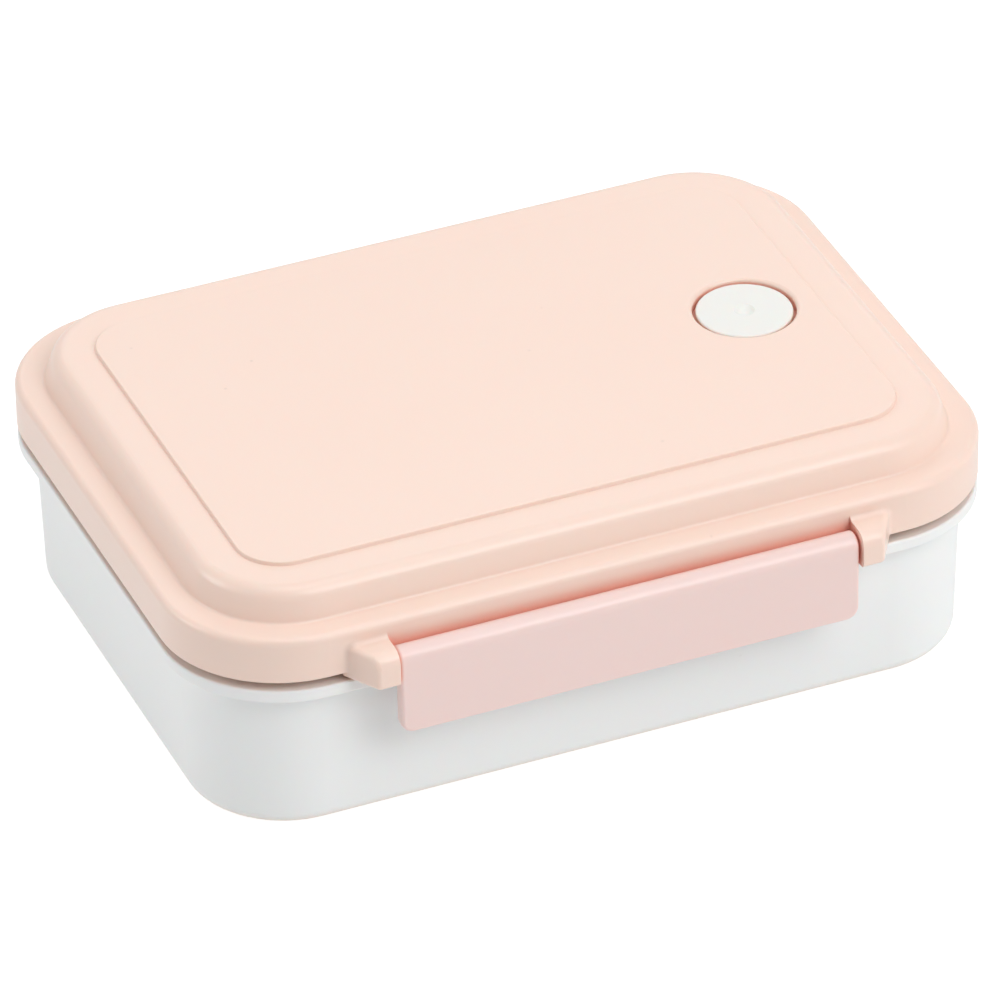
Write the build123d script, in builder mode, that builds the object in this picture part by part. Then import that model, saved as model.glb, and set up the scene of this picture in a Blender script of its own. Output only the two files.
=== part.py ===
"""One-tier bento lunch box: tub, clip-on lid, two side latches, gasket, vent valve and divider.

Millimetres, +Z up. The origin is the middle of the tub's base, X runs along the long side
and -Y is the front. Every outline is a rounded rectangle that runs parallel to the lid's edge.
"""
from build123d import *
from math import atan, degrees
import os

# ---- Overall sizes ----
lid_length = 178.0          # X, over the skirt
lid_width = 130.1           # Y, over the skirt
lid_corner = 25.9           # corner radius of the skirt, seen from above

# ---- Tub ----
flange_under = 33.5         # height of the flange's lower outer edge
flange_thickness = 2.7
flange_slope = 1.0          # fall of the flange's underside from its edge to the tub's wall
flange_inset = 0.1          # from the lid's outline to the flange's edge
body_inset = 3.6            # from the lid's outline to the tub's wall
body_draft = 1.0            # how far the wall leans in between flange and base
body_wall = 1.8
floor_thickness = 2.0
rim_rise = 7.8              # wall above the flange
base_fillet = 3.0
floor_fillet = 4.0
rim_fillet = 0.5
lip_fillet = 0.5            # radius of the flange's lower outer edge

# ---- Lid ----
lid_wall = 2.0
skirt_wall = 1.8
skirt_gap = 2.3             # open band between the flange and the skirt
ledge_fillet = 1.5
dome_rise = 6.7             # dome above the ledge
dome_inset = 5.7            # from the lid's outline to the foot of the dome
dome_lean = 2.2             # how far the dome's side leans in
dome_corner = 27.4          # corner radius of the dome's outlines, counted at the lid's edge
dome_fillet = 3.4
dome_foot_fillet = 0.7
panel_inset = 16.6          # from the lid's outline to the raised panel
panel_corner = 10.0
panel_rise = 0.8
panel_lean = 0.3
panel_fillet = 0.3
rib_wall = 1.8
rib_drop = 5.8              # rib below the ledge's underside
rib_to_wall = 0.4           # clearance between the rib and the inside of the tub's rim

# ---- Gasket ----
gasket_height = 2.1
gasket_side_gap = 0.2
rim_to_gasket = 0.3
gasket_fillet = 0.6

# ---- Vent valve ----
valve_from_end = 32.5       # from the lid's right end to the valve's middle
valve_radius = 10.2
valve_thickness = 1.8
valve_below_panel = 0.5
valve_edge_fillet = 0.5
dimple_radius = 2.2
dimple_depth = 0.7
recess_side_gap = 0.7
recess_floor_gap = 0.2
recess_rim_fillet = 0.8
well_floor = 1.8
well_wall = 1.6
stem_radius = 3.0
stem_side_gap = 0.35
bead_overlap = 1.3          # bead radius beyond the hole's edge
bead_height = 2.4
valve_travel = 3.0
valve_stop_gap = 0.3

# ---- Latches and ears ----
latch_drop = 16.7           # from the hinge line to the latch's lower edge
latch_thickness = 3.0
barrel_radius = 2.8
barrel_gap = 0.35           # between the barrel and the skirt
pivot_above_skirt = 2.5     # hinge line above the skirt's lower edge
latch_corner = 2.8
latch_edge_fillet = 0.8
latch_root = 1.2            # radius where the barrel meets the plate's back
hook_from_end = 12.2        # from the latch's end to the hook's
hook_bite = 1.6             # how far the hook reaches under the flange
hook_gap = 0.3
hook_tip = 0.9              # thickness at the tip
hook_root = 2.6             # thickness at the plate
ear_to_corner = 3.1         # from the ear's outer foot to where the lid's corner starts
ear_gap = 0.4               # between the latch's end and the ear
ear_front_width = 4.6
ear_foot_width = 9.4
ear_side_fillet = 1.1       # radius along the slanted outer side
ear_proud = 1.0             # ear's face in front of the latch's
ear_drop = 1.7              # ear below the skirt's lower edge
ear_height = 7.8
ear_nose = 3.0              # radius of the ear's upper front edge
ear_root = 1.3              # radius where the ear's top meets the skirt
ear_edge_fillet = 1.2       # radius of the lower front edge
pin_radius = 1.25
pin_clearance = 0.05
pin_length = 2.0            # pin inside the ear
pin_end_gap = 0.4

# ---- Divider ----
divider_wall = 1.6
divider_foot = 8.0          # width of the end flanges along the tub's walls
divider_side_gap = 0.5
divider_floor_gap = 0.3
divider_below_rib = 2.5
divider_x = 22.0
divider_edge = 0.4

# ---- Heights and places that follow ----
tiny = 0.01
half_width = lid_width / 2
flange_top = flange_under + flange_thickness
rim_top = flange_top + rim_rise
gasket_bottom = rim_top + rim_to_gasket
ledge_under = gasket_bottom + gasket_height
ledge_top = ledge_under + lid_wall
skirt_bottom = flange_top + skirt_gap
dome_top = ledge_top + dome_rise
panel_top = dome_top + panel_rise
dome_angle = degrees(atan(dome_lean / dome_rise))
panel_angle = degrees(atan(panel_lean / panel_rise))
draft_angle = degrees(atan(body_draft / flange_under))
rib_bottom = ledge_under - rib_drop
cavity_inset = body_inset + body_wall
rib_inset = cavity_inset + rib_to_wall
hole_radius = stem_radius + stem_side_gap
bead_radius = hole_radius + bead_overlap
recess_radius = valve_radius + recess_side_gap
valve_top = panel_top - valve_below_panel
recess_bottom = valve_top - valve_thickness - recess_floor_gap
well_bottom = recess_bottom - well_floor
valve_x = lid_length / 2 - valve_from_end
stem_bottom = well_bottom - valve_travel - valve_stop_gap
pivot_y = -(half_width + barrel_gap + barrel_radius)
pivot_height = skirt_bottom + pivot_above_skirt
latch_front = pivot_y - barrel_radius
latch_back = latch_front + latch_thickness
latch_bottom = pivot_height - latch_drop
ear_inner = lid_length / 2 - lid_corner - ear_to_corner - ear_foot_width
ear_front = latch_front - ear_proud
ear_bottom = skirt_bottom - ear_drop
ear_top = ear_bottom + ear_height
ear_seat = -(half_width - skirt_wall / 2)
latch_half_length = ear_inner - ear_gap
hook_half_length = latch_half_length - hook_from_end
hook_top = flange_under - hook_gap
hook_tip_y = -(half_width - hook_bite)
hook_fall = flange_slope * hook_bite / (body_inset - flange_inset)
divider_bottom = floor_thickness + divider_floor_gap
divider_top = rib_bottom - divider_below_rib
inner_half_low = half_width - cavity_inset - body_draft * (flange_under - divider_bottom) / flange_under
inner_half_high = half_width - cavity_inset
divider_half_low = inner_half_low - divider_side_gap
divider_half_high = inner_half_high - divider_side_gap


def outline(inset, mode=Mode.ADD):
    """Rounded rectangle that lies this far inside the lid's outline."""
    RectangleRounded(lid_length - 2 * inset, lid_width - 2 * inset, lid_corner - inset, mode=mode)


def slab(low, high, inset, corner=lid_corner, taper=0.0, mode=Mode.ADD):
    """Block between two heights whose outline lies this far inside the lid's outline."""
    with BuildSketch(Plane.XY.offset(low)) as face:
        RectangleRounded(lid_length - 2 * inset, lid_width - 2 * inset, corner - inset)
    extrude(face.sketch, amount=high - low, taper=taper, mode=mode)


def write(part, name):
    """Label a finished piece and write its STEP file."""
    part.label = name
    export_step(part, f"parts/{name}.step")


os.makedirs("parts", exist_ok=True)

# ---- Tub: drafted body, outward flange and straight rim, hollowed to an even wall ----
with BuildPart() as container:
    slab(flange_under, 0.0, body_inset, taper=draft_angle)
    fillet(container.edges().group_by(Axis.Z)[0], radius=base_fillet)
    with BuildSketch(Plane.XY.offset(flange_under - flange_slope)) as flange_root:
        outline(body_inset)
    with BuildSketch(Plane.XY.offset(flange_under)) as flange_edge:
        outline(flange_inset)
    loft([flange_root.sketch, flange_edge.sketch])
    slab(flange_under, flange_top, flange_inset)
    fillet(container.edges().group_by(Axis.Z)[-1], radius=rim_fillet)
    flange_lip = container.edges().filter_by_position(Axis.Z, flange_under - tiny, flange_under + tiny)
    fillet(flange_lip, radius=lip_fillet)
    slab(flange_top, rim_top, body_inset)
    slab(flange_under, floor_thickness, cavity_inset, taper=draft_angle, mode=Mode.SUBTRACT)
    fillet(container.edges(Select.LAST).group_by(Axis.Z)[0], radius=floor_fillet)
    slab(flange_under, rim_top, cavity_inset, mode=Mode.SUBTRACT)
    fillet(container.edges().group_by(Axis.Z)[-1], radius=rim_fillet)

# ---- One hinge ear, at the front right: a nose-shaped block whose outer side slants back ----
with BuildPart() as ear:
    with BuildSketch(Plane.YZ.offset(ear_inner)) as ear_side:
        with BuildLine():
            Polyline(
                (ear_seat, ear_bottom),
                (ear_front, ear_bottom),
                (ear_front, ear_top),
                (ear_seat, ear_top),
                close=True,
            )
        make_face()
        fillet(ear_side.vertices().sort_by_distance((ear_front, ear_top))[0], radius=ear_nose)
        fillet(ear_side.vertices().sort_by_distance((ear_front, ear_bottom))[0], radius=ear_edge_fillet)
    extrude(amount=ear_foot_width)
    with BuildSketch(Plane.XY.offset(ear_bottom)):
        with BuildLine():
            Polyline(
                (ear_inner, ear_seat),
                (ear_inner, ear_front),
                (ear_inner + ear_front_width, ear_front),
                (ear_inner + ear_foot_width, ear_seat),
                close=True,
            )
        make_face()
    extrude(amount=ear_height, mode=Mode.INTERSECT)
    slant = ear.faces().sort_by(Axis.X)[-1]
    fillet(slant.edges().filter_by(lambda edge: edge.center().Y < ear_seat - tiny), radius=ear_side_fillet)
    with BuildSketch(Plane.YZ.offset(ear_inner)):
        with Locations((pivot_y, pivot_height)):
            Circle(pin_radius + pin_clearance)
    extrude(amount=pin_length + pin_end_gap, mode=Mode.SUBTRACT)

# ---- Lid: skirt and ledge, dome, raised panel, sealing rib, valve well and four ears ----
with BuildPart() as lid:
    slab(skirt_bottom, ledge_top, 0.0)
    fillet(lid.edges().group_by(Axis.Z)[-1], radius=ledge_fillet)
    slab(ledge_top, dome_top, dome_inset, corner=dome_corner, taper=dome_angle)
    fillet(lid.edges(Select.LAST).group_by(Axis.Z)[0], radius=dome_foot_fillet)
    fillet(lid.edges().group_by(Axis.Z)[-1], radius=dome_fillet)
    slab(dome_top, panel_top, panel_inset, corner=panel_inset + panel_corner, taper=panel_angle)
    fillet(lid.edges().group_by(Axis.Z)[-1], radius=panel_fillet)
    slab(skirt_bottom, ledge_under, skirt_wall, mode=Mode.SUBTRACT)
    slab(
        ledge_under,
        dome_top - lid_wall,
        dome_inset + lid_wall,
        corner=dome_corner,
        taper=dome_angle,
        mode=Mode.SUBTRACT,
    )
    with BuildSketch(Plane.XY.offset(rib_bottom)) as rib:
        outline(rib_inset)
        outline(rib_inset + rib_wall, mode=Mode.SUBTRACT)
    extrude(rib.sketch, amount=rib_drop + tiny)
    with BuildSketch(Plane.XY.offset(well_bottom)):
        with Locations((valve_x, 0)):
            Circle(recess_radius + well_wall)
    extrude(amount=dome_top - well_bottom)
    with Locations((valve_x, 0, panel_top)):
        CounterBoreHole(
            radius=hole_radius,
            counter_bore_radius=recess_radius,
            counter_bore_depth=panel_top - recess_bottom,
            depth=panel_top - well_bottom,
        )
    recess_rim = lid.edges().filter_by(GeomType.CIRCLE).group_by(Axis.Z)[-1]
    fillet(recess_rim.filter_by(lambda edge: abs(edge.radius - recess_radius) < tiny), radius=recess_rim_fillet)
    for turn in (0, 180):
        add(ear.part.rotate(Axis.Z, turn))
        add(ear.part.mirror(Plane.YZ).rotate(Axis.Z, turn))
    ear_roots = lid.edges().filter_by(
        lambda edge: abs(abs(edge.center().Y) - half_width) < tiny
        and abs(edge.center().X) > ear_inner + tiny
        and abs(edge.center().X) < ear_inner + ear_foot_width
        and edge.center().Z > skirt_bottom + tiny
        and edge.center().Z < ear_top + tiny
    )
    fillet(ear_roots, radius=ear_root)

# ---- Gasket: a ring that fills the lid's channel above the tub's rim ----
with BuildPart() as lid_gasket:
    with BuildSketch(Plane.XY.offset(gasket_bottom)):
        outline(skirt_wall + gasket_side_gap)
        outline(rib_inset - gasket_side_gap, mode=Mode.SUBTRACT)
    extrude(amount=gasket_height)
    fillet(lid_gasket.edges().group_by(Axis.Z)[0], radius=gasket_fillet)

# ---- Vent valve: disc, stem and the bead that keeps it in the lid ----
with BuildPart() as vent_valve:
    with BuildSketch(Plane.XZ) as half_section:
        with BuildLine():
            Polyline(
                (valve_x, valve_top),
                (valve_x + valve_radius, valve_top),
                (valve_x + valve_radius, valve_top - valve_thickness),
                (valve_x + stem_radius, valve_top - valve_thickness),
                (valve_x + stem_radius, stem_bottom),
                (valve_x + bead_radius, stem_bottom),
                (valve_x + stem_radius, stem_bottom - bead_height),
                (valve_x, stem_bottom - bead_height),
                close=True,
            )
        make_face()
        disc_rim = half_section.vertices().sort_by_distance((valve_x + valve_radius, valve_top))
        fillet(disc_rim[0], radius=valve_edge_fillet)
    revolve(axis=Axis((valve_x, 0, 0), (0, 0, 1)))
    dimple_sphere = (dimple_radius**2 + dimple_depth**2) / (2 * dimple_depth)
    with Locations((valve_x, 0, valve_top - dimple_depth + dimple_sphere)):
        Sphere(dimple_sphere, mode=Mode.SUBTRACT)

# ---- Front latch: barrel on the hinge line, plate, hook and stub pins ----
with BuildPart() as front_latch:
    with BuildSketch(Plane.YZ) as clip:
        with Locations((pivot_y, pivot_height)):
            Circle(barrel_radius)
        with BuildLine():
            Polyline(
                (latch_front, latch_bottom),
                (latch_back, latch_bottom),
                (latch_back, pivot_height),
                (latch_front, pivot_height),
                close=True,
            )
        make_face()
        behind_plate = clip.vertices().filter_by_position(Axis.X, latch_back - tiny, latch_back + tiny)
        fillet(behind_plate.sort_by(Axis.Y)[-1], radius=latch_root)
    extrude(amount=latch_half_length, both=True)
    fillet(front_latch.edges().filter_by(Axis.Y).group_by(Axis.Z)[0], radius=latch_corner)
    right_end = front_latch.faces().sort_by(Axis.X)[-1].edges()
    left_end = front_latch.faces().sort_by(Axis.X)[0].edges()
    bottom = front_latch.edges().group_by(Axis.Z)[0]
    corners = front_latch.edges().filter_by(GeomType.CIRCLE).filter_by(
        lambda edge: abs(edge.radius - latch_corner) < tiny
    )
    fillet(right_end + left_end + bottom + corners, radius=latch_edge_fillet)
    with BuildSketch(Plane.YZ):
        with BuildLine():
            Polyline(
                (latch_back - tiny, hook_top),
                (-half_width, hook_top),
                (hook_tip_y, hook_top - hook_fall),
                (hook_tip_y, hook_top - hook_fall - hook_tip),
                (latch_back - tiny, hook_top - hook_root - hook_fall),
                close=True,
            )
        make_face()
    extrude(amount=hook_half_length, both=True)
    with BuildSketch(Plane.YZ):
        with Locations((pivot_y, pivot_height)):
            Circle(pin_radius)
    extrude(amount=ear_inner + pin_length, both=True)

# ---- Divider: a cross wall with a flange at each end, leaning with the tub's walls ----
with BuildPart() as divider:
    with BuildSketch(Plane.YZ.offset(divider_x)) as web:
        with BuildLine():
            Polyline(
                (-divider_half_low, divider_bottom),
                (divider_half_low, divider_bottom),
                (divider_half_high, divider_top),
                (-divider_half_high, divider_top),
                close=True,
            )
        make_face()
        fillet(web.vertices().group_by(Axis.Y)[0], radius=floor_fillet)
    extrude(amount=divider_foot / 2, both=True)
    for side in (1, -1):
        with BuildSketch(Plane.YZ.offset(divider_x + side * divider_wall / 2)) as bay:
            with BuildLine():
                Polyline(
                    (-divider_half_low + divider_wall, divider_bottom - tiny),
                    (divider_half_low - divider_wall, divider_bottom - tiny),
                    (divider_half_high - divider_wall, divider_top + tiny),
                    (-divider_half_high + divider_wall, divider_top + tiny),
                    close=True,
                )
            make_face()
        extrude(bay.sketch, amount=side * divider_foot, mode=Mode.SUBTRACT)
    fillet(divider.edges().filter_by(Axis.Y).group_by(Axis.Z)[-1], radius=divider_edge)

write(container.part, "container")
write(lid.part, "lid")
write(lid_gasket.part, "lid_gasket")
write(vent_valve.part, "vent_valve")
write(front_latch.part, "front_latch")
write(front_latch.part.rotate(Axis.Z, 180), "rear_latch")
write(divider.part, "divider")
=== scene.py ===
# %% [markdown]
# # A one-tier lunch box with a clip-on lid
#
# The box is a moulded tub, a domed lid with a long clip on each long side, a white silicone
# vent valve, a sealing ring and a loose cross wall inside. Every part with a working size was
# made in CAD and arrives here already in place, in metres. What is left for Blender is the
# look: coloured plastic, white plastic and silicone, a pale studio, and a camera.
#
# Each one keeps its own name and stays exactly where it is.

# %% Load the parts
import bpy
import math
from mathutils import Matrix, Vector


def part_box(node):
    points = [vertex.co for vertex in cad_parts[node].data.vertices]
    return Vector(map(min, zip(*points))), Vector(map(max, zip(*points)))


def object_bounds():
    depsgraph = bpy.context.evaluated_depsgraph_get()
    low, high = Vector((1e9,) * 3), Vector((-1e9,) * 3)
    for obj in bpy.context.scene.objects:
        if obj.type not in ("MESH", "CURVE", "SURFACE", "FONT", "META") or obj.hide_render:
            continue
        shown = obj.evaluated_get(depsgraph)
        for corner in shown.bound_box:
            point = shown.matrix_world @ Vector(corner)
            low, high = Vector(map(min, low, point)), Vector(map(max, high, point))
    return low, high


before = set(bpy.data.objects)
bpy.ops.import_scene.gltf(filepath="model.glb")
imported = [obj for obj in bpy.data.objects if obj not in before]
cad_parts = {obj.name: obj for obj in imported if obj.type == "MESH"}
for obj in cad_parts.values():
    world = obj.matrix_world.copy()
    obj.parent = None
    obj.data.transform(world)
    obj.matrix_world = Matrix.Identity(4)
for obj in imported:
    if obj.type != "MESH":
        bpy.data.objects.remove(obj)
cad_low, cad_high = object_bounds()
for name in sorted(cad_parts):
    low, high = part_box(name)
    print(name, [round(1000 * side, 1) for side in high - low], "mm")

# %% [markdown]
# ## Colour handling
#
# Blender's default view, AgX, softens bright colours so that bright scenes do not burn out.
# This box is pale pink and white in a white room, and AgX would turn it grey. The Standard
# view shows each colour as it is, so pale plastic stays pale.

# %% Show colours as they are
bpy.context.scene.view_settings.view_transform = "Standard"
print("view:", bpy.context.scene.view_settings.view_transform)

# %% [markdown]
# ## Building materials from nodes
#
# A material is a small network of nodes. Two helpers keep the cells below short: one adds a
# node and fills or links its inputs, the other makes a node group with named inputs and
# outputs. A Mix node has several sockets with the same name, one for each kind of data, so the
# helper picks the one that is switched on.

# %% Helpers for node networks
FLOAT = "NodeSocketFloat"
COLOUR = "NodeSocketColor"


def active(sockets, name):
    """The switched-on socket of that name or number."""
    if isinstance(name, int):
        return sockets[name]
    return next(socket for socket in sockets if socket.name == name and socket.enabled)


def add_node(tree, kind, label, inputs=None, **settings):
    """Add a node, name it, apply its settings, and fill or link its inputs."""
    node = tree.nodes.new(kind)
    node.label = label
    for key, value in settings.items():
        setattr(node, key, value)
    for key, value in (inputs or {}).items():
        if isinstance(value, bpy.types.NodeSocket):
            tree.links.new(value, active(node.inputs, key))
        else:
            active(node.inputs, key).default_value = value
    return node


def new_group(name, inputs, outputs):
    """Make an empty node group with named inputs and outputs, and return it with its two ends."""
    group = bpy.data.node_groups.new(name, "ShaderNodeTree")
    for label, (kind, value) in inputs.items():
        socket = group.interface.new_socket(label, in_out="INPUT", socket_type=kind)
        socket.default_value = value
    for label, kind in outputs.items():
        group.interface.new_socket(label, in_out="OUTPUT", socket_type=kind)
    return group, group.nodes.new("NodeGroupInput").outputs, group.nodes.new("NodeGroupOutput").inputs


# %% [markdown]
# ## The surface of moulded plastic
#
# Polypropylene comes out of a polished steel mould almost smooth. Three small things keep it
# from looking like computer plastic: faint clouds where the melt flowed, a very low orange
# peel that breaks up reflections, and a little dust. All the pieces here share them, so they
# are made once, as a shader node group that takes a colour and gives back a colour, a
# roughness and a height.
#
# The patterns are read from Object coordinates, which are metres in this scene. A noise with a
# scale of 12 therefore has waves of about 80 mm, and one with a scale of 900 about 1 mm.

# %% Group: flow clouds, orange peel and dust
CLOUD_SCALE = 12.0
GLOSS_CHANGE = 0.08         # roughness between the clearest and the cloudiest place
DUST_SCALE = 95.0
DUST_SIZE = 0.045
GRAINS_LEFT_OUT = 0.62      # share of the grains that make no speck
DUST_COLOUR = (0.45, 0.36, 0.33, 1)


def make_moulded_skin():
    """Clouds change the colour and the gloss, peel changes the height, and dust adds fine specks."""
    group, given, result = new_group(
        "Moulded skin",
        {
            "Colour": (COLOUR, (0.8, 0.8, 0.8, 1)),
            "Cloud colour": (COLOUR, (0.7, 0.7, 0.7, 1)),
            "Clouds": (FLOAT, 0.3),
            "Roughness": (FLOAT, 0.35),
            "Peel scale": (FLOAT, 900.0),
            "Dust": (FLOAT, 0.2),
        },
        {"Colour": COLOUR, "Roughness": FLOAT, "Height": FLOAT},
    )
    place = add_node(group, "ShaderNodeTexCoord", "Place on the piece").outputs["Object"]
    clouds = add_node(group, "ShaderNodeTexNoise", "Flow of the melt",
                      {"Vector": place, "Scale": CLOUD_SCALE, "Detail": 3.0})
    soft = add_node(group, "ShaderNodeMapRange", "Gentle clouds",
                    {"Value": clouds.outputs[0], "From Min": 0.35, "From Max": 0.7})
    share = add_node(group, "ShaderNodeMath", "Cloud strength",
                     {0: soft.outputs[0], 1: given["Clouds"]}, operation="MULTIPLY")
    clouded = add_node(group, "ShaderNodeMix", "Clouded colour",
                       {"Factor": share.outputs[0], "A": given["Colour"], "B": given["Cloud colour"]},
                       data_type="RGBA")
    grains = add_node(group, "ShaderNodeTexVoronoi", "Scattered grains",
                      {"Vector": place, "Scale": DUST_SCALE})
    speck = add_node(group, "ShaderNodeMapRange", "Small round specks",
                     {"Value": grains.outputs["Distance"], "From Min": DUST_SIZE, "From Max": 0.0})
    picked = add_node(group, "ShaderNodeSeparateColor", "One chance per grain",
                      {"Color": grains.outputs["Color"]})
    rare = add_node(group, "ShaderNodeMath", "Only some grains",
                    {0: picked.outputs[0], 1: GRAINS_LEFT_OUT}, operation="GREATER_THAN")
    dust = add_node(group, "ShaderNodeMath", "Dust specks",
                    {0: speck.outputs[0], 1: rare.outputs[0]}, operation="MULTIPLY")
    dust_share = add_node(group, "ShaderNodeMath", "Dust strength",
                          {0: dust.outputs[0], 1: given["Dust"]}, operation="MULTIPLY")
    dusty = add_node(group, "ShaderNodeMix", "Colour with dust",
                     {"Factor": dust_share.outputs[0], "A": active(clouded.outputs, "Result"),
                      "B": DUST_COLOUR}, data_type="RGBA")
    peel = add_node(group, "ShaderNodeTexNoise", "Orange peel",
                    {"Vector": place, "Scale": given["Peel scale"], "Detail": 2.0})
    uneven = add_node(group, "ShaderNodeMath", "Uneven gloss",
                      {0: clouds.outputs[0], 1: GLOSS_CHANGE, 2: -GLOSS_CHANGE / 2},
                      operation="MULTIPLY_ADD")
    rough = add_node(group, "ShaderNodeMath", "Roughness",
                     {0: given["Roughness"], 1: uneven.outputs[0]}, operation="ADD")
    group.links.new(active(dusty.outputs, "Result"), result["Colour"])
    group.links.new(rough.outputs[0], result["Roughness"])
    group.links.new(peel.outputs[0], result["Height"])
    return group


moulded_skin = make_moulded_skin()
print("group:", moulded_skin.name, [item.name for item in moulded_skin.interface.items_tree])

# %% [markdown]
# ## From the shared skin to real finishes
#
# Thin polypropylene lets light in a little way and gives it back warmer. Subsurface scattering
# does this. Its radius is how far each colour travels, so the red end goes further than the
# blue. It is kept shallow here: the walls are only 2 mm thick, and with a deep radius the red
# light would leak through into the dark inside and leave the lid beige.
#
# In a real narrow groove the light bounces from wall to wall and takes up colour each time, so a
# pink groove looks salmon rather than grey. Here that is painted shade: the Ambient Occlusion node
# measures how closed-in a point is, and a salmon or beige shade colour is painted into the base colour
# there.
#
# The group feeds the colour, the roughness and the bump. Values that are the same all over,
# such as the subsurface weight, are typed into the shader itself.

# %% One function for every plastic and silicone
REACH = (1.0, 0.4, 0.28)    # how far red, green and blue travel, compared with each other
# The next three numbers set the painted shade: how far the occlusion test looks, and the open share where
# the painted shade colour is full and where it has gone.
GLOW_DEPTH = 0.0012
PAINTED_SHADE_REACH = 0.005
FULL_PAINTED_SHADE_AT = 0.05        # share of open space where the groove colour is full
NO_PAINTED_SHADE_AT = 0.68          # share of open space where the groove colour has gone
PEEL_HEIGHT = 0.0002
PLASTIC_IOR = 1.49
COAT_ROUGHNESS = 0.15


def moulded_material(name, colour, cloud_colour, painted_shade_colour, clouds, roughness, peel, bump, dust,
                     glow, sheen_coat):
    """A moulded finish: the shared skin on a Principled shader with a soft inner glow and painted shade in
    grooves.
    """
    material = bpy.data.materials.new(name)
    material.use_nodes = True
    tree = material.node_tree
    shader = next(node for node in tree.nodes if node.type == "BSDF_PRINCIPLED")
    skin = add_node(tree, "ShaderNodeGroup", "Moulded skin", node_tree=moulded_skin)
    values = {"Colour": (*colour, 1), "Cloud colour": (*cloud_colour, 1), "Clouds": clouds,
              "Roughness": roughness, "Peel scale": peel, "Dust": dust}
    for key, value in values.items():
        skin.inputs[key].default_value = value
    relief = add_node(tree, "ShaderNodeBump", "Peel relief",
                      {"Height": skin.outputs["Height"], "Strength": bump, "Distance": PEEL_HEIGHT})
    # Painted shade: where the Ambient Occlusion node finds the place closed in, the shade colour replaces
    # the plastic's own colour in Base Color.
    closed_in = add_node(tree, "ShaderNodeAmbientOcclusion", "How open the place is",
                         {"Distance": PAINTED_SHADE_REACH}, samples=6)
    open_share = add_node(tree, "ShaderNodeMapRange", "Open share",
                          {"Value": closed_in.outputs["AO"], "From Min": FULL_PAINTED_SHADE_AT,
                           "From Max": NO_PAINTED_SHADE_AT})
    coloured = add_node(tree, "ShaderNodeMix", "Painted shade in grooves",
                        {"Factor": open_share.outputs[0], "A": (*painted_shade_colour, 1),
                         "B": skin.outputs["Colour"]}, data_type="RGBA")
    tree.links.new(active(coloured.outputs, "Result"), shader.inputs["Base Color"])
    tree.links.new(skin.outputs["Roughness"], shader.inputs["Roughness"])
    tree.links.new(relief.outputs[0], shader.inputs["Normal"])
    shader.inputs["IOR"].default_value = PLASTIC_IOR
    shader.inputs["Subsurface Weight"].default_value = glow
    shader.inputs["Subsurface Radius"].default_value = REACH
    shader.inputs["Subsurface Scale"].default_value = GLOW_DEPTH
    shader.inputs["Coat Weight"].default_value = sheen_coat
    shader.inputs["Coat Roughness"].default_value = COAT_ROUGHNESS
    print("material:", name)
    return material


# Painted shade colours for grooves and creases: salmon on the pink parts, beige on the white ones.
SALMON_PAINTED_SHADE = (0.93, 0.40, 0.30)
BEIGE_PAINTED_SHADE = (0.84, 0.70, 0.58)
pink_plastic = moulded_material("Pink polypropylene", (0.945, 0.73, 0.63), (0.94, 0.71, 0.61), SALMON_PAINTED_SHADE,
                                clouds=0.5, roughness=0.34, peel=700.0, bump=0.05, dust=0.3, glow=0.2,
                                sheen_coat=0.2)
clip_plastic = moulded_material("Pink clip", (0.90, 0.695, 0.655), (0.895, 0.68, 0.64), SALMON_PAINTED_SHADE,
                                clouds=0.4, roughness=0.34, peel=800.0, bump=0.05, dust=0.12, glow=0.2,
                                sheen_coat=0.2)
white_plastic = moulded_material("Off-white polypropylene", (0.90, 0.915, 0.91), (0.88, 0.895, 0.885), BEIGE_PAINTED_SHADE,
                                 clouds=0.5, roughness=0.36, peel=600.0, bump=0.05, dust=0.12, glow=0.2,
                                 sheen_coat=0.1)
silicone = moulded_material("White silicone", (0.87, 0.865, 0.83), (0.85, 0.845, 0.81), BEIGE_PAINTED_SHADE,
                            clouds=0.5, roughness=0.55, peel=1500.0, bump=0.10, dust=0.3, glow=0.3,
                            sheen_coat=0.0)
seal_silicone = moulded_material("Clear sealing silicone", (0.84, 0.845, 0.83), (0.80, 0.80, 0.78), BEIGE_PAINTED_SHADE,
                                 clouds=0.5, roughness=0.42, peel=1200.0, bump=0.08, dust=0.1, glow=0.5,
                                 sheen_coat=0.1)

# %% [markdown]
# ## Dressing the CAD parts
#
# A CAD part keeps its mesh, its place and its shading. Only the material in its slot changes.

# %% Give each part its finish
finishes = {
    "container": white_plastic,
    "divider": white_plastic,
    "lid": pink_plastic,
    "front_latch": clip_plastic,
    "rear_latch": clip_plastic,
    "lid_gasket": seal_silicone,
    "vent_valve": silicone,
}
for name, material in finishes.items():
    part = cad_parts[name]
    for slot in part.material_slots:
        slot.material = material
    print(name, "->", material.name)

# %% [markdown]
# ## The studio
#
# Pale plastic needs even light, or it turns grey. Five soft boxes stand around the box: overhead,
# front above, front right, left and back. Large lights give long, soft highlights along every
# rounded edge, and they keep the shadow under the box faint.
#
# Two tricks keep the picture white without washing out the box. The table glows more strongly
# for the camera than it does as a light, so its bounce stays gentle. The room is dimmer towards
# the front left, so the faces that turn that way keep some shape.

# %% White table and white room
TABLE_SIZE = 12.0
TABLE_GREY = 0.35           # how much light the table gives back
TABLE_AS_LIGHT = 0.57       # its glow as the box feels it
TABLE_SEEN = 0.85           # its glow as the camera sees it
ROOM_BRIGHT = 0.57
ROOM_DIM = 0.15
DIM_SIDE = (-0.62, -0.75, 0.2)

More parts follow.
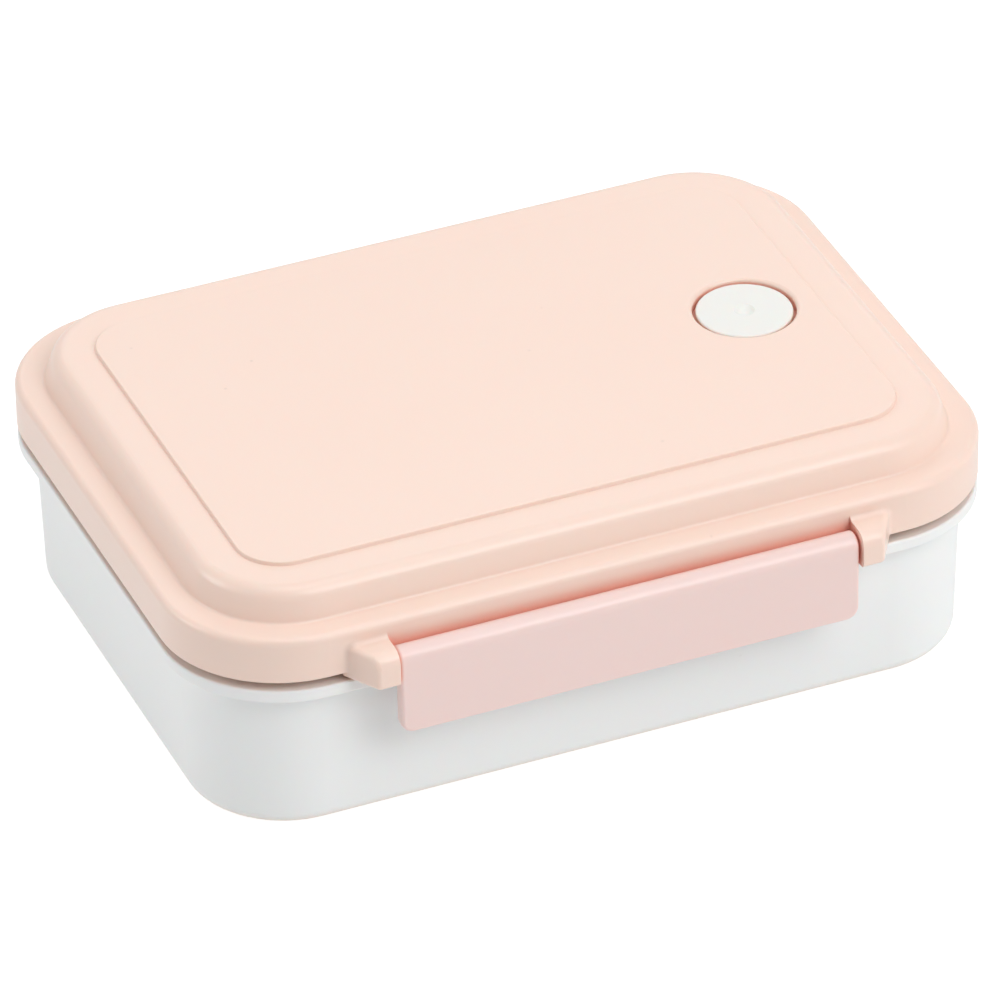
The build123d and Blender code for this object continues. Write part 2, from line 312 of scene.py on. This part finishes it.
bpy.ops.object.select_all(action="DESELECT")
bpy.ops.mesh.primitive_plane_add(size=TABLE_SIZE, location=(0, 0, 0))
table = bpy.context.object
table.name = "table"
table_paint = bpy.data.materials.new("White table")
table_paint.use_nodes = True
table_shader = next(node for node in table_paint.node_tree.nodes if node.type == "BSDF_PRINCIPLED")
table_shader.inputs["Base Color"].default_value = (TABLE_GREY, TABLE_GREY, TABLE_GREY, 1)
table_shader.inputs["Roughness"].default_value = 0.9
table_shader.inputs["Specular IOR Level"].default_value = 0.0
table_shader.inputs["Emission Color"].default_value = (1, 1, 1, 1)
eye = add_node(table_paint.node_tree, "ShaderNodeLightPath", "Seen or only felt")
glow = add_node(table_paint.node_tree, "ShaderNodeMapRange", "White to the eye, softer as a light",
                {"Value": eye.outputs["Is Camera Ray"], "To Min": TABLE_AS_LIGHT,
                 "To Max": TABLE_SEEN})
table_paint.node_tree.links.new(glow.outputs[0], table_shader.inputs["Emission Strength"])
table.data.materials.append(table_paint)

room = bpy.data.worlds.new("White room")
room.use_nodes = True
room_light = next(node for node in room.node_tree.nodes if node.type == "BACKGROUND")
room_light.inputs["Color"].default_value = (1, 1, 1, 1)
bpy.context.scene.world = room
heading = add_node(room.node_tree, "ShaderNodeTexCoord", "Direction of the ray").outputs["Generated"]
towards_dark = add_node(room.node_tree, "ShaderNodeVectorMath", "How far to the front left",
                        {0: heading, 1: DIM_SIDE}, operation="DOT_PRODUCT")
brightness = add_node(room.node_tree, "ShaderNodeMapRange", "Dimmer to the front left",
                      {"Value": towards_dark.outputs["Value"], "From Min": 0.1, "From Max": 0.95,
                       "To Min": ROOM_BRIGHT, "To Max": ROOM_DIM})
room.node_tree.links.new(brightness.outputs[0], room_light.inputs["Strength"])


def soft_light(name, place, target, width, power):
    """A square soft box that looks at a point."""
    lamp = bpy.data.lights.new(name, "AREA")
    lamp.size = width
    lamp.energy = power
    holder = bpy.data.objects.new(name, lamp)
    holder.location = place
    holder.rotation_euler = (Vector(target) - Vector(place)).to_track_quat("-Z", "Y").to_euler()
    bpy.context.scene.collection.objects.link(holder)
    print("light:", name, power, "W")


middle = Vector((0, 0, cad_high[2] / 2))
soft_light("overhead", (0.1, 0.0, 1.3), middle, 0.5, 2.4)
soft_light("front above", (0.35, -1.0, 1.25), middle, 0.8, 7.4)
soft_light("back panel", (0.55, 1.35, 0.95), middle, 1.3, 3.0)
soft_light("front right", (0.9, -1.2, 0.9), middle, 0.9, 5.2)
soft_light("left", (-1.3, 0.4, 0.8), middle, 0.7, 5.2)

# %% [markdown]
# ## The camera
#
# The view is from the front left and about 34 degrees above the table, through a long lens, so
# the box's long edges stay almost parallel. The camera's place comes from two angles and a
# distance. A very small roll finishes it.

# %% Set up the camera
AZIMUTH = math.radians(-22.39)
ELEVATION = math.radians(33.99)
ROLL = math.radians(-1.0)
DISTANCE = 1.8923
LOOK_AT = Vector((0.0140, 0.0317, 0.0))
LENS_MM = 321.1

back = Vector((math.sin(AZIMUTH) * math.cos(ELEVATION),
               -math.cos(AZIMUTH) * math.cos(ELEVATION),
               math.sin(ELEVATION)))
level_right = Vector((math.cos(AZIMUTH), math.sin(AZIMUTH), 0))
level_up = back.cross(level_right)
right = level_right * math.cos(ROLL) + level_up * math.sin(ROLL)
up = level_up * math.cos(ROLL) - level_right * math.sin(ROLL)

lens = bpy.data.cameras.new("camera")
lens.lens = LENS_MM
lens.sensor_width = 36.0
lens.clip_end = 50.0
camera = bpy.data.objects.new("camera", lens)
camera.matrix_world = Matrix((
    (right.x, up.x, back.x, LOOK_AT.x + DISTANCE * back.x),
    (right.y, up.y, back.y, LOOK_AT.y + DISTANCE * back.y),
    (right.z, up.z, back.z, LOOK_AT.z + DISTANCE * back.z),
    (0, 0, 0, 1),
))
bpy.context.scene.collection.objects.link(camera)
bpy.context.scene.camera = camera
print("camera at", [round(value, 3) for value in camera.location])
